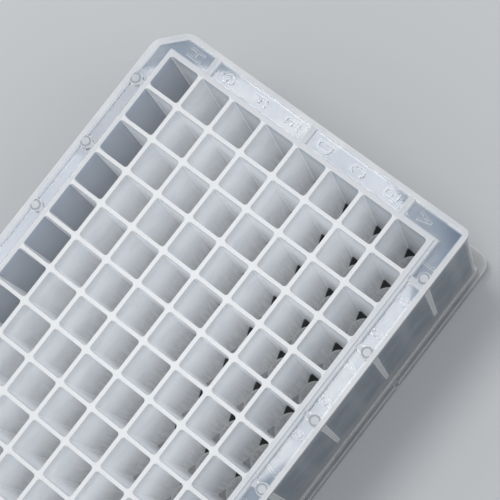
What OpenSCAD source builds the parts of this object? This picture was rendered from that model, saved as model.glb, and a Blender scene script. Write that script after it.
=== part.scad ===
// 96-well deep-well plate with square wells, one injection moulding in natural polypropylene.
// Millimetres, +Z up. The origin is on the resting plane, under the middle of the well grid.
// Columns 1 to 12 run along +X, rows A to H run along -Y.

/* [Footprint] */
// Length of the base flange, along the columns
plate_length = 127.76; // [124:0.01:160]
// Width of the base flange, along the rows
plate_width = 85.48; // [84:0.01:110]
// Height from the resting plane to the tops of the wells
plate_height = 44; // [40:0.5:60]
// Radius of the flange's corners
flange_corner_r = 3.2; // [1:0.1:5]
// Height of the flange
flange_height = 4.2; // [3:0.1:8]
// Thickness of the flange's wall and of the ledge above it
flange_wall = 1.2; // [0.8:0.1:2]
// Width of the ledge between flange and skirt on the short sides
ledge_short_side = 3.38; // [2:0.01:4]
// Width of the ledge between flange and skirt on the long sides
ledge_long_side = 0.99; // [0.6:0.01:2]

/* [Wells] */
// Number of columns of wells
columns = 12; // [2:1:12]
// Number of rows of wells
rows = 8; // [2:1:8]
// Distance from well to well
pitch = 9; // [8.6:0.1:9]
// Side of the square opening at the top of a well
well_opening = 8.1; // [7:0.05:8.2]
// Radius of the well's vertical corners at the top
well_corner_r = 0.75; // [0.6:0.05:1.2]
// How much each wall of a well leans in, from the top down to the shoulder
well_draft = 0.25; // [0.1:0.05:0.4]
// Depth at which the corners of a well begin to close
shoulder_depth = 28.2; // [15:0.1:30]
// Height over which the square section closes to a round one
shoulder_height = 2.3; // [1.5:0.1:4]
// Gap between the round section and the walls of the square one, where they meet
circle_gap = 0.04; // [0.02:0.01:0.2]
// Radius of the flat tip inside a well
tip_flat_r = 0.8; // [0.4:0.1:1.6]
// Width and height of the bevel between the tip and the cone
tip_bevel = 0.6; // [0.2:0.1:1]
// Thickness of the floor and of the conical lower walls
cone_wall = 1.05; // [0.8:0.05:1.4]
// Thickness of the outermost walls of the well block at the top
block_wall = 0.95; // [0.7:0.05:1.2]
// Clearance between the tips of the wells and the resting plane
tip_clearance = 1.6; // [0.5:0.1:6]
// Depth of the step round the top of the well block
block_step_depth = 0.9; // [0.5:0.1:2]
// Width of the step round the top of the well block
block_step_width = 0.45; // [0.2:0.05:0.8]

/* [Skirt and rim] */
// How far the rim lies below the tops of the wells
rim_drop = 1.8; // [0.5:0.1:4]
// Width of the rim's top face
rim_width = 1.05; // [0.8:0.05:1.8]
// Height of the rim's outer band
rim_band = 1.5; // [0.8:0.1:4]
// How far the skirt's panels lie behind the rim
panel_recess = 0.35; // [0.1:0.05:0.6]
// Thickness of the skirt's panels
panel_wall = 1; // [0.8:0.05:1.2]
// Height of the foot band above the ledge
foot_band = 1.4; // [0.6:0.1:3]
// Corner radius of the rim
rim_corner_r = 1.5; // [1.2:0.1:3]
// Leg of the cut corner beside well H1
notch_leg = 6; // [3:0.5:7]
// Radius at both ends of the cut corner
notch_blend_r = 3.6; // [2:0.1:5]

/* [Trough] */
// Depth of the trough's floor below the rim
trough_depth = 1.2; // [0.8:0.1:5]
// Thickness of the trough's floor
deck_wall = 1.2; // [0.8:0.1:2]
// Width of the ribs that cross the trough
rib_width = 1.1; // [0.8:0.05:1.8]
// Radius of a boss at its top
boss_top_r = 1.35; // [1:0.05:1.8]
// Radius of a boss at its foot
boss_foot_r = 1.5; // [1.4:0.05:2]
// Distance from a boss's axis to the rim's inner edge
boss_inset = 1; // [0.8:0.05:1.9]
// How far the corner bosses on row A's side lie outside their webs
corner_boss_shift = 1.7; // [0:0.1:1.8]
// Height of a boss's foot above the trough's floor
boss_foot_height = 0.5; // [0.2:0.1:0.6]
// Width of an outer rib below the rim
outer_rib_top = 1.45; // [1:0.05:2]
// Width of an outer rib at its lower end
outer_rib_foot = 0.95; // [0.6:0.05:1.4]
// Height of the lower end of the ribs above the resting plane
rib_foot_height = 14.5; // [8:0.5:30]
// Distance from the middle of the plate to the notches in the flange
notch_offset = 27.5; // [10:0.5:45]
// Width of those notches
notch_width = 1.2; // [0.6:0.1:3]
// Depth of those notches
notch_depth = 0.5; // [0.2:0.1:0.8]

/* [Index marks] */
// Height of the row letters
letter_height = 3.3; // [2:0.1:4.5]
// Width of the row letters, between the middles of their outer strokes
letter_width = 1.8; // [1.2:0.1:2.4]
// Height of the column numbers
number_height = 2.5; // [1.5:0.1:3]
// Width of the figures, between the middles of their outer strokes
number_width = 1.4; // [1:0.1:1.9]
// Distance from one row letter to the next
letter_pitch = 9.15; // [8.6:0.05:9.3]
// Width of the strokes
stroke = 0.5; // [0.3:0.05:0.6]
// Distance between the two figures of a number, as a share of their height
digit_spacing = 0.85; // [0.8:0.05:1]
// How far the marks stand above the trough's floor
mark_relief = 0.3; // [0.15:0.05:0.6]

/* [Hidden] */
$fn = 48;

// Overlap of solids that run into each other, and margin of cuts that run out of them
overlap = 0.01;
margin = 0.3;
// Derived sizes are rounded to one part in this many of a millimetre
rounding = 10000;
// Least radius of a corner that is moved inwards, and angle of one step along a mark's bend
least_r = 0.3;
bend_step = 22.5;
// How far a blend at an oblique corner runs over its straight sides, and the cosine below
// which a corner counts as square
blend_join = 0.002;
square_limit = 0.001;
// The field that the marks are drawn on
field = [4, 6];
natural = [0.86, 0.88, 0.9];

// Levels, measured up from the resting plane
top_z = plate_height;
rim_z = top_z - rim_drop;
deck_z = rim_z - trough_depth;
deck_under_z = deck_z - deck_wall;
band_z = rim_z - rim_band;
ledge_under_z = flange_height - flange_wall;
foot_z = flange_height + foot_band;
shoulder_z = top_z - shoulder_depth;
circle_z = shoulder_z - shoulder_height;
tip_z = tip_clearance + cone_wall;

// Half sizes in plan
flange_half = [plate_length / 2, plate_width / 2];
rim_half = flange_half - [ledge_short_side, ledge_long_side];
block_half = [(columns - 1) * pitch + well_opening, (rows - 1) * pitch + well_opening] / 2
           + [block_wall, block_wall];

// Well section
opening_half = well_opening / 2;
draft_slope = well_draft / shoulder_depth;
corner_axis = opening_half - well_corner_r;

// Centres of the wells, and the wall lines that the ribs continue
function column_x(c) = (c - (columns - 1) / 2) * pitch;
function row_y(r) = ((rows - 1) / 2 - r) * pitch;
rib_columns = [for (c = [0 : 2 : columns - 2]) (column_x(c) + column_x(c + 1)) / 2];
rib_rows = [for (r = [0 : 3 : rows - 2]) (row_y(r) + row_y(r + 1)) / 2];

// ---- Outlines -------------------------------------------------------------

function unit(v) = v / norm(v);

// A convex outline with a radius at each corner, points listed anticlockwise
module rounded_outline(points, radii) {
    n = len(points);
    to_last = [for (i = [0 : n - 1]) unit(points[(i + n - 1) % n] - points[i])];
    to_next = [for (i = [0 : n - 1]) unit(points[(i + 1) % n] - points[i])];
    legs = [for (i = [0 : n - 1]) radii[i] / tan(acos(to_last[i] * to_next[i]) / 2)];
    starts = [for (i = [0 : n - 1]) points[i] + to_last[i] * legs[i]];
    ends = [for (i = [0 : n - 1]) points[i] + to_next[i] * legs[i]];
    polygon([for (i = [0 : n - 1]) each [starts[i], ends[i]]]);
    for (i = [0 : n - 1]) {
        square_corner = abs(to_last[i] * to_next[i]) < square_limit;
        translate(points[i] + unit(to_last[i] + to_next[i]) * norm([legs[i], radii[i]]))
            circle(r = radii[i] + (square_corner ? 0 : blend_join));
    }
}

// The rim's outline with its cut corner at H1, moved inwards by inset
module rim_outline(inset) {
    half = rim_half - [inset, inset];
    leg = notch_leg - inset * (2 - sqrt(2));
    corner_r = max(rim_corner_r - inset, least_r);
    blend_r = max(notch_blend_r - inset, least_r);
    rounded_outline(
        [[-half[0] + leg, -half[1]], [half[0], -half[1]], half, [-half[0], half[1]],
         [-half[0], -half[1] + leg]],
        [blend_r, corner_r, corner_r, corner_r, blend_r]);
}

module flange_outline(inset) {
    half = flange_half - [inset, inset];
    rounded_outline([-half, [half[0], -half[1]], half, [-half[0], half[1]]],
        [for (i = [0 : 3]) flange_corner_r - inset]);
}

// ---- Wells ----------------------------------------------------------------

// How far a wall has leant in at a height, and the square section there: half of its side and the
// radius of its corners. The lean is rounded, so that walls and corners meet without a sliver.
function lean_at(z) = round(draft_slope * (top_z - z) * rounding) / rounding;
function opening_at(z) = opening_half - lean_at(z);
function corner_r_at(z) = well_corner_r - lean_at(z);
cut_top_z = top_z + margin;

// The shoulder: a cone that starts in the corners of the square and ends in the circle inside it
shoulder_r = norm([corner_axis, corner_axis]) + corner_r_at(shoulder_z);
circle_r = opening_at(circle_z) - circle_gap;
shoulder_run = shoulder_r - circle_r;
shoulder_normal = [shoulder_height, -shoulder_run] / norm([shoulder_height, shoulder_run]);
cut_r = norm([opening_half, opening_half]) + margin;
cut_r_z = circle_z + (cut_r - circle_r) * shoulder_height / shoulder_run;

// The lower cone, from that circle down to the bevel round the flat tip
tip_points = [[tip_flat_r, tip_z], [tip_flat_r + tip_bevel, tip_z + tip_bevel]];
cone_run = [circle_r, circle_z] - tip_points[1];
cone_normal = [cone_run[1], -cone_run[0]] / norm(cone_run);
bevel_normal = [1, -1] / sqrt(2);

// A corner of the hollow's profile, moved out through the wall between two faces
function mitre(corner, normal_a, normal_b) =
    corner + (normal_a + normal_b) * cone_wall / (1 + normal_a * normal_b);

// Outside, the cup runs parallel to the hollow up to the shoulder, and then on past the walls
cup_points = [[0, tip_z - cone_wall], mitre(tip_points[0], [0, -1], bevel_normal),
    mitre(tip_points[1], bevel_normal, cone_normal),
    mitre([circle_r, circle_z], cone_normal, shoulder_normal)];
cup_r = norm([opening_half + block_wall, opening_half + block_wall]) + margin;
cup_top_z = cup_points[3][1] + (cup_r - cup_points[3][0]) * shoulder_height / shoulder_run;

// A bar across the well, its end faces leaning in with the draft and its flanks upright
module drafted_bar() {
    low = opening_at(circle_z);
    high = opening_at(cut_top_z);
    rotate([90, 0, 0])
        linear_extrude(2 * corner_axis, center = true)
            polygon([[-low, circle_z], [low, circle_z], [high, cut_top_z], [-high, cut_top_z]]);
}

// The square section of the hollow, with its rounded corners
module drafted_square() {
    drafted_bar();
    rotate(90)
        drafted_bar();
    for (quarter = [0 : 3])
        rotate(90 * quarter)
            translate([corner_axis, corner_axis, 0])
                rotate_extrude(angle = 90)
                    polygon([[0, circle_z], [corner_r_at(circle_z), circle_z],
                        [corner_r_at(cut_top_z), cut_top_z], [0, cut_top_z]]);
}

// The hollow of one well: square at the top, shouldered in to a circle, conical below
module hollow() {
    intersection() {
        drafted_square();
        rotate_extrude()
            polygon([[0, circle_z], [circle_r, circle_z], [cut_r, cut_r_z],
                [cut_r, cut_top_z], [0, cut_top_z]]);
    }
    rotate_extrude()
        polygon([[0, tip_z], each tip_points, [circle_r, circle_z], [0, circle_z]]);
}

// How far a well's walls reach from its axis, one way: to the middle of the wall that it
// shares with its neighbour, or out to the face of the block
function reach(neighbour, count) =
    neighbour < 0 || neighbour >= count ? opening_half + block_wall : pitch / 2;

// One well: a square tube over a cup of its own
module well(c, r) {
    low = [-reach(c - 1, columns), -reach(r + 1, rows)];
    high = [reach(c + 1, columns), reach(r - 1, rows)];
    difference() {
        intersection() {
            translate([low[0], low[1], 0])
                cube([high[0] - low[0], high[1] - low[1], top_z]);
            rotate_extrude()
                polygon([each cup_points, [cup_r, cup_top_z], [cup_r, cut_top_z], [0, cut_top_z]]);
        }
        hollow();
    }
}

module wells() {
    for (c = [0 : columns - 1], r = [0 : rows - 1])
        translate([column_x(c), row_y(r), 0])
            well(c, r);
}

// ---- Skirt, rim and trough --------------------------------------------------

// A slab centred on the axis, from one height to another
module slab(half, low_z, high_z) {
    translate([-half[0], -half[1], low_z])
        cube([2 * half[0], 2 * half[1], high_z - low_z]);
}

// Flange, ledge, skirt, rim and trough floor: one thin wall, with a window for the wells
module skirt() {
    difference() {
        union() {
            linear_extrude(flange_height)
                flange_outline(0);
            translate([0, 0, flange_height - overlap])
                linear_extrude(foot_band + overlap)
                    rim_outline(0);
            translate([0, 0, foot_z - overlap])
                linear_extrude(band_z - foot_z + 2 * overlap)
                    rim_outline(panel_recess);
            translate([0, 0, band_z])
                linear_extrude(rim_band)
                    rim_outline(0);
        }
        translate([0, 0, -margin])
            linear_extrude(ledge_under_z + margin)
                flange_outline(flange_wall);
        translate([0, 0, ledge_under_z - overlap])
            linear_extrude(deck_under_z - ledge_under_z + overlap)
                rim_outline(panel_recess + panel_wall);
        translate([0, 0, deck_z])
            linear_extrude(trough_depth + margin)
                rim_outline(rim_width);
        slab(block_half, 0, top_z);
        for (x = [-notch_offset, notch_offset], y = [-flange_half[1], flange_half[1]])
            translate([x, y, 0])
                cube([notch_width, 2 * notch_depth, 2 * flange_height + margin], center = true);
    }
}

// The step round the top of the well block, down to the trough's floor
module block_step() {
    difference() {
        slab(block_half + [block_step_width, block_step_width], deck_under_z, top_z - block_step_depth);
        slab(block_half, 0, top_z);
    }
}

// ---- Ribs and bosses --------------------------------------------------------

// Distance from the face of the block to the back of the rim, on each axis
gap = rim_half - block_half - [panel_recess, panel_recess];

// Webs from the block to the skirt: across the trough, level with the rim, and down below it
module webs() {
    height = rim_z - rib_foot_height;
    middle_z = rim_z - height / 2;
    for (x = rib_columns, side = [-1, 1])
        translate([x, side * (block_half[1] + gap[1] / 2), middle_z])
            cube([rib_width, gap[1], height], center = true);
    for (y = rib_rows, side = [-1, 1])
        translate([side * (block_half[0] + gap[0] / 2), y, middle_z])
            cube([gap[0], rib_width, height], center = true);
}

// Webs below the trough, from the corners of the block to the long sides
module corner_webs() {
    height = deck_under_z - rib_foot_height;
    for (x = [-1, 1], y = [-1, 1])
        translate([x * (block_half[0] - block_wall / 2), y * (block_half[1] + gap[1] / 2),
            deck_under_z - height / 2])
            cube([block_wall, gap[1], height], center = true);
}

// Tapered ribs on the outside of the long sides, level with the rim
module outer_ribs() {
    for (x = rib_columns, side = [0, 1])
        rotate(180 * side)
            translate([x, rim_half[1], 0])
                rotate([90, 0, 0])
                    linear_extrude(panel_recess + panel_wall / 2)
                        polygon([[-outer_rib_foot / 2, rib_foot_height],
                            [outer_rib_foot / 2, rib_foot_height],
                            [outer_rib_top / 2, band_z + overlap],
                            [-outer_rib_top / 2, band_z + overlap]]);
}

// Bosses beside the rim, one at each web of the long sides, those in row A's corners set outwards
module bosses() {
    boss_y = rim_half[1] - rim_width - boss_inset;
    root = deck_wall / 2;
    last = len(rib_columns) - 1;
    for (i = [0 : last], side = [-1, 1]) {
        outwards = side < 0 ? 0 : i == 0 ? -corner_boss_shift : i == last ? corner_boss_shift : 0;
        translate([rib_columns[i] + outwards, side * boss_y, deck_z - root]) {
            cylinder(h = root + trough_depth, r = boss_top_r);
            cylinder(h = root + boss_foot_height, r = boss_foot_r);
        }
    }
}

// ---- Index marks ------------------------------------------------------------

// Strokes and bends of each mark, on a field 4 wide and 6 high. h is half a stroke's width.
// A stroke is a pair of points. A bend is [centre, radius, start angle, end angle].
function mark_strokes(name, h) =
    name == "A" ? [[[0, 0], [2, 6]], [[4, 0], [2, 6]], [[0.8, 2.2], [3.2, 2.2]]]
    : name == "B" ? [[[0, -h], [0, 6 + h]], [[0, 6], [2.4, 6]], [[0, 3], [2.4, 3]], [[0, 0], [2.4, 0]]]
    : name == "C" ? [[[0, 2], [0, 4]]]
    : name == "D" ? [[[0, -h], [0, 6 + h]], [[0, 6], [2, 6]], [[0, 0], [2, 0]], [[4, 2], [4, 4]]]
    : name == "E" ? [[[0, -h], [0, 6 + h]], [[0, 6], [3.6, 6]], [[0, 3], [3.2, 3]], [[0, 0], [3.6, 0]]]
    : name == "F" ? [[[0, -h], [0, 6 + h]], [[0, 6], [3.6, 6]], [[0, 3], [3.2, 3]]]
    : name == "G" ? [[[0, 2], [0, 4]], [[4, 2], [4, 3 - h]], [[2.4, 3], [4 + h, 3]]]
    : name == "H" ? [[[0, -h], [0, 6 + h]], [[4, -h], [4, 6 + h]], [[0, 3], [4, 3]]]
    : name == "0" ? [[[0, 2], [0, 4]], [[4, 2], [4, 4]]]
    : name == "1" ? [[[2, -h], [2, 6 + h]], [[2, 6], [0.8, 4.8]]]
    : name == "2" ? [[[3.73, 3], [0, 0]], [[0, 0], [4, 0]]]
    : name == "3" ? []
    : name == "4" ? [[[3, -h], [3, 6 + h]], [[3, 6], [0, 2]], [[0, 2], [4, 2]]]
    : name == "5" ? [[[3.6, 6], [0.4 - h, 6]], [[0.4, 6], [0.4, 3.2]]]
    : name == "6" ? [[[0, 2], [0, 4]]]
    : name == "7" ? [[[0, 6], [4 + h, 6]], [[4, 6], [1.6, -h]]]
    : name == "8" ? []
    : [[[4, 2], [4, 4]]];
function mark_bends(name) =
    name == "B" ? [[[2.4, 4.5], 1.5, -90, 90], [[2.4, 1.5], 1.5, -90, 90]]
    : name == "C" ? [[[2, 4], 2, 20, 180], [[2, 2], 2, 180, 340]]
    : name == "D" ? [[[2, 4], 2, 0, 90], [[2, 2], 2, -90, 0]]
    : name == "G" ? [[[2, 4], 2, 20, 180], [[2, 2], 2, 180, 360]]
    : name == "0" ? [[[2, 4], 2, 0, 180], [[2, 2], 2, 180, 360]]
    : name == "2" ? [[[2, 4], 2, -30, 180]]
    : name == "3" ? [[[2, 4.5], 1.5, -90, 160], [[2, 1.5], 1.5, -160, 90]]
    : name == "5" ? [[[2, 2], 2, -150, 140]]
    : name == "6" ? [[[2, 2], 2, 0, 180], [[2, 2], 2, 180, 360], [[2, 4], 2, 30, 180]]
    : name == "8" ? [[[2, 4.5], 1.5, 0, 180], [[2, 4.5], 1.5, 180, 360],
        [[2, 1.5], 1.5, 0, 180], [[2, 1.5], 1.5, 180, 360]]
    : name == "9" ? [[[2, 4], 2, 0, 180], [[2, 4], 2, 180, 360], [[2, 2], 2, 210, 360]]
    : [];

// A stroke from a to b, cut square at both ends
module mark_stroke(a, b, half) {
    across = [a[1] - b[1], b[0] - a[0]] / norm(b - a) * half;
    polygon([a - across, b - across, b + across, a + across]);
}

// A bend of the same width, from one angle to another, in short straight steps, made narrower
// or wider by a factor
module mark_bend(centre, r, start, end, half, factor) {
    steps = ceil((end - start) / bend_step);
    turns = [for (i = [0 : steps]) let (angle = start + (end - start) * i / steps) [cos(angle), sin(angle)]];
    middle = [centre[0] * factor, centre[1]];
    outer = [r * factor + half, r + half];
    inner = [r * factor - half, r - half];
    polygon([for (i = [0 : steps]) middle + [turns[i][0] * outer[0], turns[i][1] * outer[1]],
        for (i = [steps : -1 : 0]) middle + [turns[i][0] * inner[0], turns[i][1] * inner[1]]]);
}

// One raised mark, centred, in the plane of the trough's floor
module mark(name, height, width) {
    field_unit = height / field[1];
    factor = width / field[0] / field_unit;
    half = stroke / 2 / field_unit;
    translate([0, 0, deck_z - deck_wall / 2])
        linear_extrude(deck_wall / 2 + mark_relief)
            scale(field_unit)
                translate([-field[0] * factor, -field[1]] / 2) {
                    for (s = mark_strokes(name, half))
                        mark_stroke([s[0][0] * factor, s[0][1]], [s[1][0] * factor, s[1][1]], half);
                    for (b = mark_bends(name))
                        mark_bend(b[0], b[1], b[2], b[3], half, factor);
                }
}

// Letters beside the rows and numbers beside the columns, their tops towards row A
module marks() {
    letter_x = (rim_half[0] - rim_width + block_half[0] + block_step_width) / 2;
    number_y = (rim_half[1] - rim_width + block_half[1] + block_step_width) / 2;
    letters = "ABCDEFGH";
    for (r = [0 : rows - 1])
        translate([-letter_x, ((rows - 1) / 2 - r) * letter_pitch, 0])
            mark(letters[r], letter_height, letter_width);
    for (c = [0 : columns - 1]) {
        digits = str(c + 1);
        for (i = [0 : len(digits) - 1])
            translate([column_x(c) + (i - (len(digits) - 1) / 2) * digit_spacing * number_height, number_y, 0])
                mark(digits[i], number_height, number_width);
    }
}

// ---- Whole plate ------------------------------------------------------------

module well_plate() {
    color(natural) {
        wells();
        skirt();
        block_step();
        webs();
        corner_webs();
        outer_ribs();
        bosses();
        marks();
    }
}

well_plate();
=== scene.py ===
import math

import bpy
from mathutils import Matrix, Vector


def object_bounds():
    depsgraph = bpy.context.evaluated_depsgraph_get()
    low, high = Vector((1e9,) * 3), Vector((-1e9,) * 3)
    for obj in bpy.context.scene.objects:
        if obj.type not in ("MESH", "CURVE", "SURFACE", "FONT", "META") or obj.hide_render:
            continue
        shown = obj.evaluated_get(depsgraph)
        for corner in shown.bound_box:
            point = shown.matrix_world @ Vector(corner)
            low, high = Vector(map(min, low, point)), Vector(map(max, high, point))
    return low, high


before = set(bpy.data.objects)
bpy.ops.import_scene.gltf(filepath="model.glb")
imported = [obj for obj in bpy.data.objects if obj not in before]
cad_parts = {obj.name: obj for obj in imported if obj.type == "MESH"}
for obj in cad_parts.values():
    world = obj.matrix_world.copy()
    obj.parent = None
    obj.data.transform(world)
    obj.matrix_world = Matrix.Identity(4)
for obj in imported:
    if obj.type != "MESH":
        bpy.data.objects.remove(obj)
cad_low, cad_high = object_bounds()
scene = bpy.context.scene

# ---- Camera -----------------------------------------------------------------
# A long lens high above the long side of row A, rolled over to one side. It looks down at
# the end of the plate that holds wells A1 and H1.
camera_data = bpy.data.cameras.new("camera")
camera_data.lens = 122.34
camera_data.sensor_width = 36
camera_data.clip_start = 0.01
camera_data.clip_end = 20
camera = bpy.data.objects.new("camera", camera_data)
camera.location = (-0.00517, 0.10531, 0.39347)
camera.rotation_euler = (math.radians(12.786), math.radians(10.118), math.radians(128.510))
scene.collection.objects.link(camera)
scene.camera = camera
scene.view_settings.view_transform = "Standard"


# ---- Floor and backdrop -------------------------------------------------------
# A wide pale grey studio floor of painted board, with faint mottling. The backdrop is a
# pale grey close to it, so that the horizon stands out little.
def clear_selection():
    for o in bpy.context.selected_objects:
        o.select_set(False)


def node_maker(material):
    """Empties a material's node tree and returns a function that adds nodes to it."""
    material.use_nodes = True
    tree = material.node_tree
    tree.nodes.clear()

    def make(kind, inputs=None, **settings):
        node = tree.nodes.new(kind)
        for key, value in settings.items():
            setattr(node, key, value)
        for key, value in (inputs or {}).items():
            if isinstance(value, bpy.types.NodeSocket):
                tree.links.new(value, node.inputs[key])
            else:
                node.inputs[key].default_value = value
        return node

    return make


clear_selection()
bpy.ops.mesh.primitive_circle_add(vertices=96, radius=4, fill_type="NGON")
floor = bpy.context.object
floor.name = "floor"
floor_material = bpy.data.materials.new("studio_floor")
make = node_maker(floor_material)
coords = make("ShaderNodeTexCoord").outputs["Object"]
mottle = make("ShaderNodeTexNoise", {"Vector": coords, "Scale": 3.0, "Detail": 4.0}).outputs["Fac"]
darker_grey = (0.60, 0.61, 0.62, 1)
paler_grey = (0.66, 0.67, 0.68, 1)
grey = make("ShaderNodeMix", {"Factor": mottle, "A": darker_grey, "B": paler_grey}, data_type="RGBA")
board = make("ShaderNodeBsdfPrincipled", {"Base Color": grey.outputs[2], "Roughness": 0.75})
make("ShaderNodeOutputMaterial", {"Surface": board.outputs[0]})
floor.data.materials.append(floor_material)

world = bpy.data.worlds.new("studio")
scene.world = world
world.use_nodes = True
background = next(n for n in world.node_tree.nodes if n.type == "BACKGROUND")
background.inputs["Color"].default_value = (0.93, 0.96, 1.0, 1)
background.inputs["Strength"].default_value = 0.58


# ---- Lights -------------------------------------------------------------------
# Two round softboxes overhead, of which the trough's glossy floor mirrors one, and a wide,
# weak fill from the camera's side.
def softbox(name, place, aim, width, radiance, outline="DISK"):
    """Hangs an area light that looks equally bright from everywhere, whatever its width."""
    light = bpy.data.lights.new(name, "AREA")
    light.shape = outline
    light.size = width
    area = width * width * (math.pi / 4 if outline == "DISK" else 1)
    light.energy = radiance * math.pi * area
    light.color = (1.0, 0.99, 0.975)
    lamp = bpy.data.objects.new(name, light)
    lamp.location = place
    lamp.rotation_euler = (Vector(aim) - Vector(place)).to_track_quat("-Z", "Y").to_euler()
    scene.collection.objects.link(lamp)


softbox("key", (-0.062, -0.293, 1.04), (-0.01, 0, 0.04), width=0.336, radiance=9.5)
softbox("second_key", (0.15, -0.30, 1.04), (-0.01, 0, 0.04), width=0.26, radiance=5.4)
softbox("fill", (-0.5, 1.3, 1.5), (0, 0, 0.04), width=1.0, radiance=0.8, outline="SQUARE")


# ---- Well plate ---------------------------------------------------------------
# One moulding in natural polypropylene. It is milky white, with painted highlights on its edges, bluish
# grey where it is thin, glossy on the trough's floor and satin elsewhere, as the mould left it. A painted
# glow stands in for the light that runs inside its walls, most of all round the trough.
MM = 0.001
pitch = 9 * MM
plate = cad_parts["well_plate"]
make = node_maker(plate.data.materials[0])

# Heights over the bench, from the tops of the wells down
plate_top = cad_high[2]
step_top = plate_top - 0.9 * MM
rim_top = plate_top - 1.8 * MM
trough_floor = rim_top - 1.2 * MM
panel_top = rim_top - 1.5 * MM
shoulder_depth = 28.2 * MM
shoulder_top = plate_top - shoulder_depth
cone_top = shoulder_top - 2.3 * MM
panel_foot = 5.6 * MM

# Half the length and half the width of the block of 12 by 8 wells, of the rim's outside and
# inside and of the skirt's panels
block_half = (6 * pitch + 0.5 * MM, 4 * pitch + 0.5 * MM)
rim_half = (cad_high[0] - 3.38 * MM, cad_high[1] - 0.99 * MM)
rim_width = 1.05 * MM
rim_inside_half = (rim_half[0] - rim_width, rim_half[1] - rim_width)
panel_recess = 0.35 * MM
skirt_half = (rim_half[0] - panel_recess, rim_half[1] - panel_recess)

# The block's outer walls and the step round its top, the webs, the bosses and the cut corner
outer_wall = 0.95 * MM
step_width = 0.45 * MM
web_half_width = 0.55 * MM
boss_line = rim_inside_half[1] - 1 * MM
corner_boss_shift = 1.7 * MM
cut_leg = 6 * MM


def math_node(operation, a, b=0.0):
    return make("ShaderNodeMath", {0: a, 1: b}, operation=operation).outputs[0]


def plus(*terms):
    value = terms[0]
    for term in terms[1:]:
        value = math_node("ADD", value, term)
    return value


def minus(a, b):
    return math_node("SUBTRACT", a, b)


def product(*factors):
    value = factors[0]
    for factor in factors[1:]:
        value = math_node("MULTIPLY", value, factor)
    return value


def absolute(value):
    return math_node("ABSOLUTE", value)


def larger(a, b):
    return math_node("MAXIMUM", a, b)


def smaller(a, b):
    return math_node("MINIMUM", a, b)


def rest_of(mask):
    """All that a mask leaves out."""
    return minus(1.0, mask)


def ramp(value, start, end, low=0.0, high=1.0):
    """A smooth step from low to high, as value goes from start to end."""
    return make("ShaderNodeMapRange", {"Value": value, "From Min": start, "From Max": end,
                                       "To Min": low, "To Max": high},
                interpolation_type="SMOOTHSTEP").outputs[0]


def blend(factor, a, b):
    """Colour a where factor is 0 and colour b where it is 1."""
    return make("ShaderNodeMix", {"Factor": factor, "A": a, "B": b}, data_type="RGBA").outputs[2]


def noise(scale, detail=2.0, roughness=0.5, vector=None):
    return make("ShaderNodeTexNoise", {"Vector": vector or coords, "Scale": scale, "Detail": detail,
                                       "Roughness": roughness}).outputs["Fac"]


coords = make("ShaderNodeTexCoord").outputs["Object"]
x, y, height = make("ShaderNodeSeparateXYZ", {"Vector": coords}).outputs
normal = make("ShaderNodeNewGeometry").outputs["Normal"]
facing = make("ShaderNodeSeparateXYZ", {"Vector": normal}).outputs
x_out = absolute(x)
y_out = absolute(y)


def past(half):
    """Distance outside a rectangle, given by half its sides. It is below 0 inside it."""
    return larger(minus(x_out, half[0]), minus(y_out, half[1]))


def from_height(level):
    """1 from a little below a height upwards, and 0 under that."""
    return ramp(height, level - 0.2 * MM, level - 0.1 * MM)


# Zones of the top: the wells, the trough with its floor and what stands in it, and the
# tops of the webs and bosses
facing_up = ramp(facing[2], 0.5, 0.9)
upright = rest_of(facing_up)
past_block = past(block_half)
outside = ramp(past_block, -0.15 * MM, -0.05 * MM)
well = rest_of(outside)
block_edge = product(ramp(past_block, -outer_wall - 0.1 * MM, -outer_wall + 0.1 * MM),
                     ramp(past_block, 0.1 * MM, 0.0))
on_floor = ramp(height, trough_floor + 0.5 * MM, trough_floor + 0.35 * MM)
deck = product(outside, facing_up, on_floor, ramp(height, trough_floor - 3 * MM, trough_floor - 1 * MM))
rim_gap = product(past(rim_inside_half), -1.0)
webs = product(ramp(past_block, step_width, step_width + 0.1 * MM), facing_up, from_height(rim_top),
               ramp(rim_gap, 0.05 * MM, 0.15 * MM))

# Zones of the sides: the skirt's panels with their ribs and corner posts, the flange, the
# rim's outer band and the upright faces round the trough
mid_rim = (panel_recess + rim_width) / 2
cut_line = rim_half[0] + rim_half[1] - cut_leg - mid_rim * math.sqrt(2)
past_cut = product(plus(x, y, cut_line), -math.sqrt(0.5))
past_skirt = larger(plus(past(skirt_half), 0.05 * MM), past_cut)
outer_face = ramp(past_skirt, -0.03 * MM, 0.03 * MM)
panel = product(outer_face, ramp(height, panel_top + 0.05 * MM, panel_top - 0.05 * MM))
ribs = product(panel, ramp(past(rim_half), -0.13 * MM, -0.07 * MM),
               ramp(height, panel_foot + 0.05 * MM, panel_foot + 0.1 * MM))
flange = product(panel, ramp(height, panel_foot + 0.05 * MM, panel_foot - 0.05 * MM))
post = product(panel, ramp(minus(x_out, skirt_half[0] - 1.85 * MM), 0.0, 0.5 * MM),
               ramp(minus(y_out, skirt_half[1] - 1.85 * MM), 0.0, 0.5 * MM),
               ramp(height, panel_foot, panel_foot + 0.3 * MM))
band = product(outside, upright, outer_face,
               ramp(height, panel_top - 0.05 * MM, panel_top + 0.05 * MM))
trough_sides = product(outside, upright, ramp(past_skirt, 0.03 * MM, -0.03 * MM),
                       ramp(height, trough_floor - 0.05 * MM, trough_floor))


def from_lines(value, spacing):
    """Distance to the nearest of the lines at half a spacing, one and a half, and so on."""
    part = minus(math_node("FRACT", math_node("DIVIDE", value, spacing)), 0.5)
    return absolute(product(part, spacing))
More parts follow.
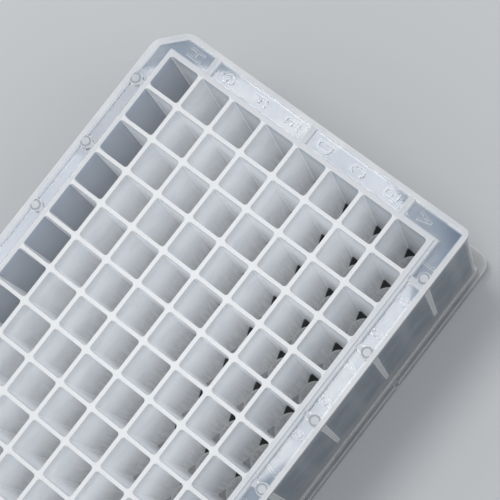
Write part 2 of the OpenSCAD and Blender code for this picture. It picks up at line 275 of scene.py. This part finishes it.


# Places in a well: the painted highlights down its corners, the painted shadow in the pocket at the
# shoulder's corner, the light ring where the cone begins, and the walls that have no well behind them,
# which get painted shade
across = from_lines(x, pitch)
along = from_lines(y, pitch)
lean = product(minus(plate_top, height), 0.25 * MM / shoulder_depth)
diagonal = plus(across, along, product(lean, 1.2))
skew = absolute(minus(across, along))
corner_highlight = product(ramp(diagonal, 7.3 * MM, 7.45 * MM), ramp(skew, 0.30 * MM, 0.10 * MM), well,
                      ramp(height, plate_top - 0.1 * MM, plate_top - 0.3 * MM),
                      ramp(height, shoulder_top - 0.3 * MM, shoulder_top + 1.2 * MM))
peak = plus(height, product(skew, 1.5))
near_half = ramp(math_node("FRACT", math_node("DIVIDE", x, pitch)), 0.52, 0.48, 0.35, 1.0)
pocket_shadow = product(ramp(peak, shoulder_top + 1.2 * MM, shoulder_top + 0.9 * MM),
                 ramp(height, cone_top + 0.25 * MM, cone_top + 0.4 * MM), well, near_half)
ring = product(ramp(height, cone_top - 0.35 * MM, cone_top - 0.2 * MM),
               ramp(height, cone_top + 0.35 * MM, cone_top + 0.2 * MM), well)
outer_wall_reach = outer_wall + 0.35 * MM
end_wall = product(well, ramp(minus(x_out, block_half[0] - outer_wall_reach), 0.0, 0.05 * MM))
side_wall = product(well, ramp(minus(y_out, block_half[1] - outer_wall_reach), 0.0, 0.05 * MM))

# Places in the trough: round the bosses, of which row A's corner ones stand further out, and
# beside its walls, which are the rim, the block and the webs
row_a_corner = product(ramp(y, -1 * MM, 1 * MM), ramp(x_out, 43 * MM, 44 * MM))
boss_x = from_lines(minus(x_out, product(row_a_corner, corner_boss_shift)), 2 * pitch)
boss_y = minus(y_out, boss_line)
boss_way = math_node("SQRT", plus(product(boss_x, boss_x), product(boss_y, boss_y)))
boss_shadow_ring = product(webs, ramp(boss_way, 0.80 * MM, 0.95 * MM), ramp(boss_way, 1.42 * MM, 1.30 * MM))
long_side = ramp(y_out, block_half[1] - 0.1 * MM, block_half[1] + 0.1 * MM)
long_side_web = from_lines(x_out, 2 * pitch)
short_side_web = smaller(absolute(minus(y_out, 3 * pitch)), y_out)
web_way = plus(product(long_side_web, long_side), product(short_side_web, rest_of(long_side)))
gap = smaller(smaller(rim_gap, minus(past_block, step_width)), minus(web_way, web_half_width))
row_h_side = product(ramp(y, -37 * MM, -38 * MM), ramp(x_out, 22 * MM, 25 * MM),
                     ramp(x_out, 50 * MM, 46 * MM))
corner_way = plus(x_out, y_out)

# Slow flow marks, streaks down the walls, a wave in the flat faces, a slanted painted sheen on the skirt
# and the mould's grain
flow = noise(120.0, 3.0, 0.55)
stretched = make("ShaderNodeMapping", {"Vector": coords, "Scale": (1.0, 1.0, 0.07)}).outputs[0]
streaks = noise(1500.0, 3.0, 0.6, stretched)
wave = noise(30.0, 1.0)
slant = (0.0, math.radians(35), math.radians(45))
turned = make("ShaderNodeMapping", {"Vector": coords, "Rotation": slant})
slanted = make("ShaderNodeMapping", {"Vector": turned.outputs[0], "Scale": (0.12, 1.0, 1.0)}).outputs[0]
sheen = noise(200.0, 1.5, 0.5, slanted)
grain = noise(2600.0, 2.0)

# Edges, where the wall is seen end on and looks whitest, get a painted highlight
rounded = make("ShaderNodeBevel", {"Radius": 0.22 * MM}, samples=3).outputs[0]
kink = make("ShaderNodeVectorMath", {0: rounded, 1: normal}, operation="DOT_PRODUCT").outputs["Value"]
edge = ramp(kink, 0.995, 0.90)

# Colour of the wells, from their white tops down to the grey cones, greying with depth as painted shade
milky_white = (0.86, 0.885, 0.915, 1)
depth_shade_grey = (0.66, 0.67, 0.685, 1)
wall = blend(ramp(height, 40 * MM, 14 * MM), milky_white, depth_shade_grey)
streak_strength = ramp(height, 32 * MM, 15 * MM, 0.05, 0.65)
streak_white = (0.97, 0.965, 0.96, 1)
wall = blend(product(ramp(streaks, 0.40, 0.62), streak_strength), wall, streak_white)
flow_grey = (0.55, 0.585, 0.63, 1)
wall = blend(product(ramp(flow, 0.55, 0.35), 0.22), wall, flow_grey)
cone = blend(ramp(streaks, 0.35, 0.65), (0.44, 0.425, 0.41, 1), (0.72, 0.70, 0.68, 1))
wall = blend(ramp(height, cone_top - 0.1 * MM, 8 * MM), wall, cone)
# Painted shade on the walls that have no well behind them
side_wall_shade_grey = (0.44, 0.49, 0.56, 1)
wall = blend(side_wall, wall, side_wall_shade_grey)
end_wall_shade_grey = (0.50, 0.535, 0.58, 1)
wall = blend(end_wall, wall, end_wall_shade_grey)
# Painted highlights down the corners of the wells
corner_highlight_white = (0.97, 0.975, 0.98, 1)
wall = blend(corner_highlight, wall, corner_highlight_white)
# Painted shadow in the pocket at one corner of each well's shoulder
pocket_shadow_black = (0.006, 0.006, 0.008, 1)
wall = blend(product(pocket_shadow, 0.97), wall, pocket_shadow_black)
ring_white = (0.95, 0.95, 0.95, 1)
wall = blend(ring, wall, ring_white)
wall_tops = blend(block_edge, (0.79, 0.805, 0.815, 1), (0.62, 0.64, 0.67, 1))
inside = blend(product(facing_up, from_height(rim_top)), wall, wall_tops)

# Colour of the rim, of the webs and bosses and of the step round the block
rim = blend(ramp(flow, 0.3, 0.7), (0.57, 0.59, 0.615, 1), (0.67, 0.68, 0.69, 1))
web_tops = blend(ramp(flow, 0.35, 0.65), (0.50, 0.53, 0.57, 1), (0.60, 0.625, 0.655, 1))
rim = blend(webs, rim, web_tops)
# Painted shadow in a ring round the top of each boss
boss_shadow_grey = (0.27, 0.30, 0.34, 1)
rim = blend(boss_shadow_ring, rim, boss_shadow_grey)
step_grey = (0.58, 0.61, 0.65, 1)
rim = blend(product(facing_up, from_height(step_top)), rim, step_grey)
colour = blend(well, rim, inside)

# Colour of the trough's floor, bluish because it is thin
blue = blend(ramp(wave, 0.40, 0.60), (0.25, 0.31, 0.40, 1), (0.35, 0.405, 0.485, 1))
flow_blue = (0.52, 0.55, 0.585, 1)
blue = blend(product(ramp(flow, 0.48, 0.66), 0.5), blue, flow_blue)
# Painted shade on the trough's floor along row H's side
row_h_shade_blue = (0.12, 0.165, 0.235, 1)
blue = blend(product(row_h_side, 0.8), blue, row_h_shade_blue)
corner_blue = (0.11, 0.155, 0.22, 1)
blue = blend(product(ramp(corner_way, 90.5 * MM, 98 * MM), ramp(wave, 0.25, 0.6, 0.9, 0.5),
                     ramp(y, -10 * MM, 10 * MM, 0.5, 1.0)), blue, corner_blue)
# Painted light on the trough's floor along the feet of its walls, clear of the bosses
beside_walls = ramp(gap, 0.6 * MM, 0.05 * MM)
clear_of_bosses = ramp(boss_way, 1.5 * MM, 2.2 * MM)
wall_foot_light_grey = (0.62, 0.645, 0.67, 1)
blue = blend(product(beside_walls, clear_of_bosses, 0.7), blue, wall_foot_light_grey)
colour = blend(deck, colour, blue)

# Colour of the skirt, darker in front of each well and paler between the wells: painted shade of the
# hollows behind it, seen through it
short_side = ramp(minus(x_out, skirt_half[0] - 0.05 * MM), -0.03 * MM, 0.03 * MM)
from_well = plus(product(across, rest_of(short_side)), product(along, short_side))
skirt = blend(ramp(from_well, 2.2 * MM, 4.3 * MM), (0.120, 0.155, 0.195, 1), (0.185, 0.220, 0.260, 1))
# Painted sheen across the skirt
sheen_grey = (0.265, 0.290, 0.320, 1)
skirt = blend(product(ramp(sheen, 0.38, 0.72), 0.5), skirt, sheen_grey)
# Painted warm reflection low on the skirt
warm_reflection_grey = (0.300, 0.298, 0.295, 1)
skirt = blend(product(ramp(height, 17 * MM, 7 * MM), ramp(sheen, 0.30, 0.65, 0.55, 0.9)), skirt, warm_reflection_grey)
upper_grey = (0.26, 0.29, 0.33, 1)
skirt = blend(ramp(height, 34 * MM, 40 * MM, 0.0, 0.35), skirt, upper_grey)
streak_grey = (0.36, 0.38, 0.40, 1)
skirt = blend(product(ramp(streaks, 0.3, 0.7), 0.10), skirt, streak_grey)
# Painted highlight along the foot of the skirt's panels
foot_band_highlight_grey = (0.42, 0.43, 0.44, 1)
skirt = blend(ramp(height, panel_foot + 1 * MM, panel_foot + 0.4 * MM), skirt, foot_band_highlight_grey)
colour = blend(panel, colour, skirt)
band_grey = (0.30, 0.33, 0.36, 1)
colour = blend(band, colour, band_grey)
# Painted highlight down the skirt's corner posts
post_highlight_grey = (0.50, 0.51, 0.53, 1)
colour = blend(product(post, ramp(flow, 0.3, 0.7, 0.5, 0.7)), colour, post_highlight_grey)
rib_grey = (0.50, 0.51, 0.52, 1)
colour = blend(ribs, colour, rib_grey)
ledge = blend(ramp(flow, 0.2, 0.8), (0.27, 0.28, 0.295, 1), (0.34, 0.345, 0.355, 1))
ledge_corner_grey = (0.48, 0.485, 0.49, 1)
ledge = blend(ramp(corner_way, 96 * MM, 102 * MM, 0.0, 0.7), ledge, ledge_corner_grey)
colour = blend(flange, colour, ledge)
# Painted highlight on the edges, strongest on the skirt
edge_highlight_white = (0.90, 0.915, 0.92, 1)
colour = blend(product(edge, ramp(panel, 0.0, 1.0, 0.7, 0.9)), colour, edge_highlight_white)

# Painted glow, standing in for the light carried inside the walls: in the wells it fades with depth and
# towards the tops; it also lights the trough's walls, the floor at their feet, the corner highlights and
# the skirt's edges
well_glow = product(well, ramp(height, plate_top, 38 * MM), ramp(flow, 0.25, 0.75, 0.85, 1.1),
                    rest_of(pocket_shadow), rest_of(product(side_wall, 0.55)),
                    ramp(height, 14 * MM, 40 * MM, 0.56, 1.05))
glow = plus(well_glow,
            product(trough_sides, 1.9),
            product(deck, ramp(gap, 0.55 * MM, 0.10 * MM)),
            product(deck, long_side, ramp(rim_gap, 0.65 * MM, 0.35 * MM), 0.8),
            product(corner_highlight, 0.4),
            product(edge, panel))

# The trough's floor is polished and waves a little, and the rest is satin and finely grained
roughness = plus(ramp(deck, 0.0, 1.0, 0.34, 0.035),
                 product(minus(grain, 0.5), ramp(deck, 0.0, 1.0, 0.10, 0.02)))
swell = make("ShaderNodeBump", {"Strength": ramp(deck, 0.0, 1.0, 0.3, 1.0), "Distance": 0.35 * MM,
                                "Height": wave})
texture = make("ShaderNodeBump", {"Strength": ramp(deck, 0.0, 1.0, 0.2, 0.04), "Distance": 0.02 * MM,
                                  "Height": grain, "Normal": swell.outputs[0]})

natural_polypropylene = make("ShaderNodeBsdfPrincipled", {
    "Base Color": colour,
    "Roughness": roughness,
    "IOR": 1.49,
    "Subsurface Weight": 0.5,
    "Subsurface Radius": (1.0, 1.0, 1.0),
    "Subsurface Scale": 6 * MM,
    "Emission Color": (0.118, 0.121, 0.125, 1),
    "Emission Strength": glow,
    "Normal": texture.outputs[0],
})
make("ShaderNodeOutputMaterial", {"Surface": natural_polypropylene.outputs[0]})
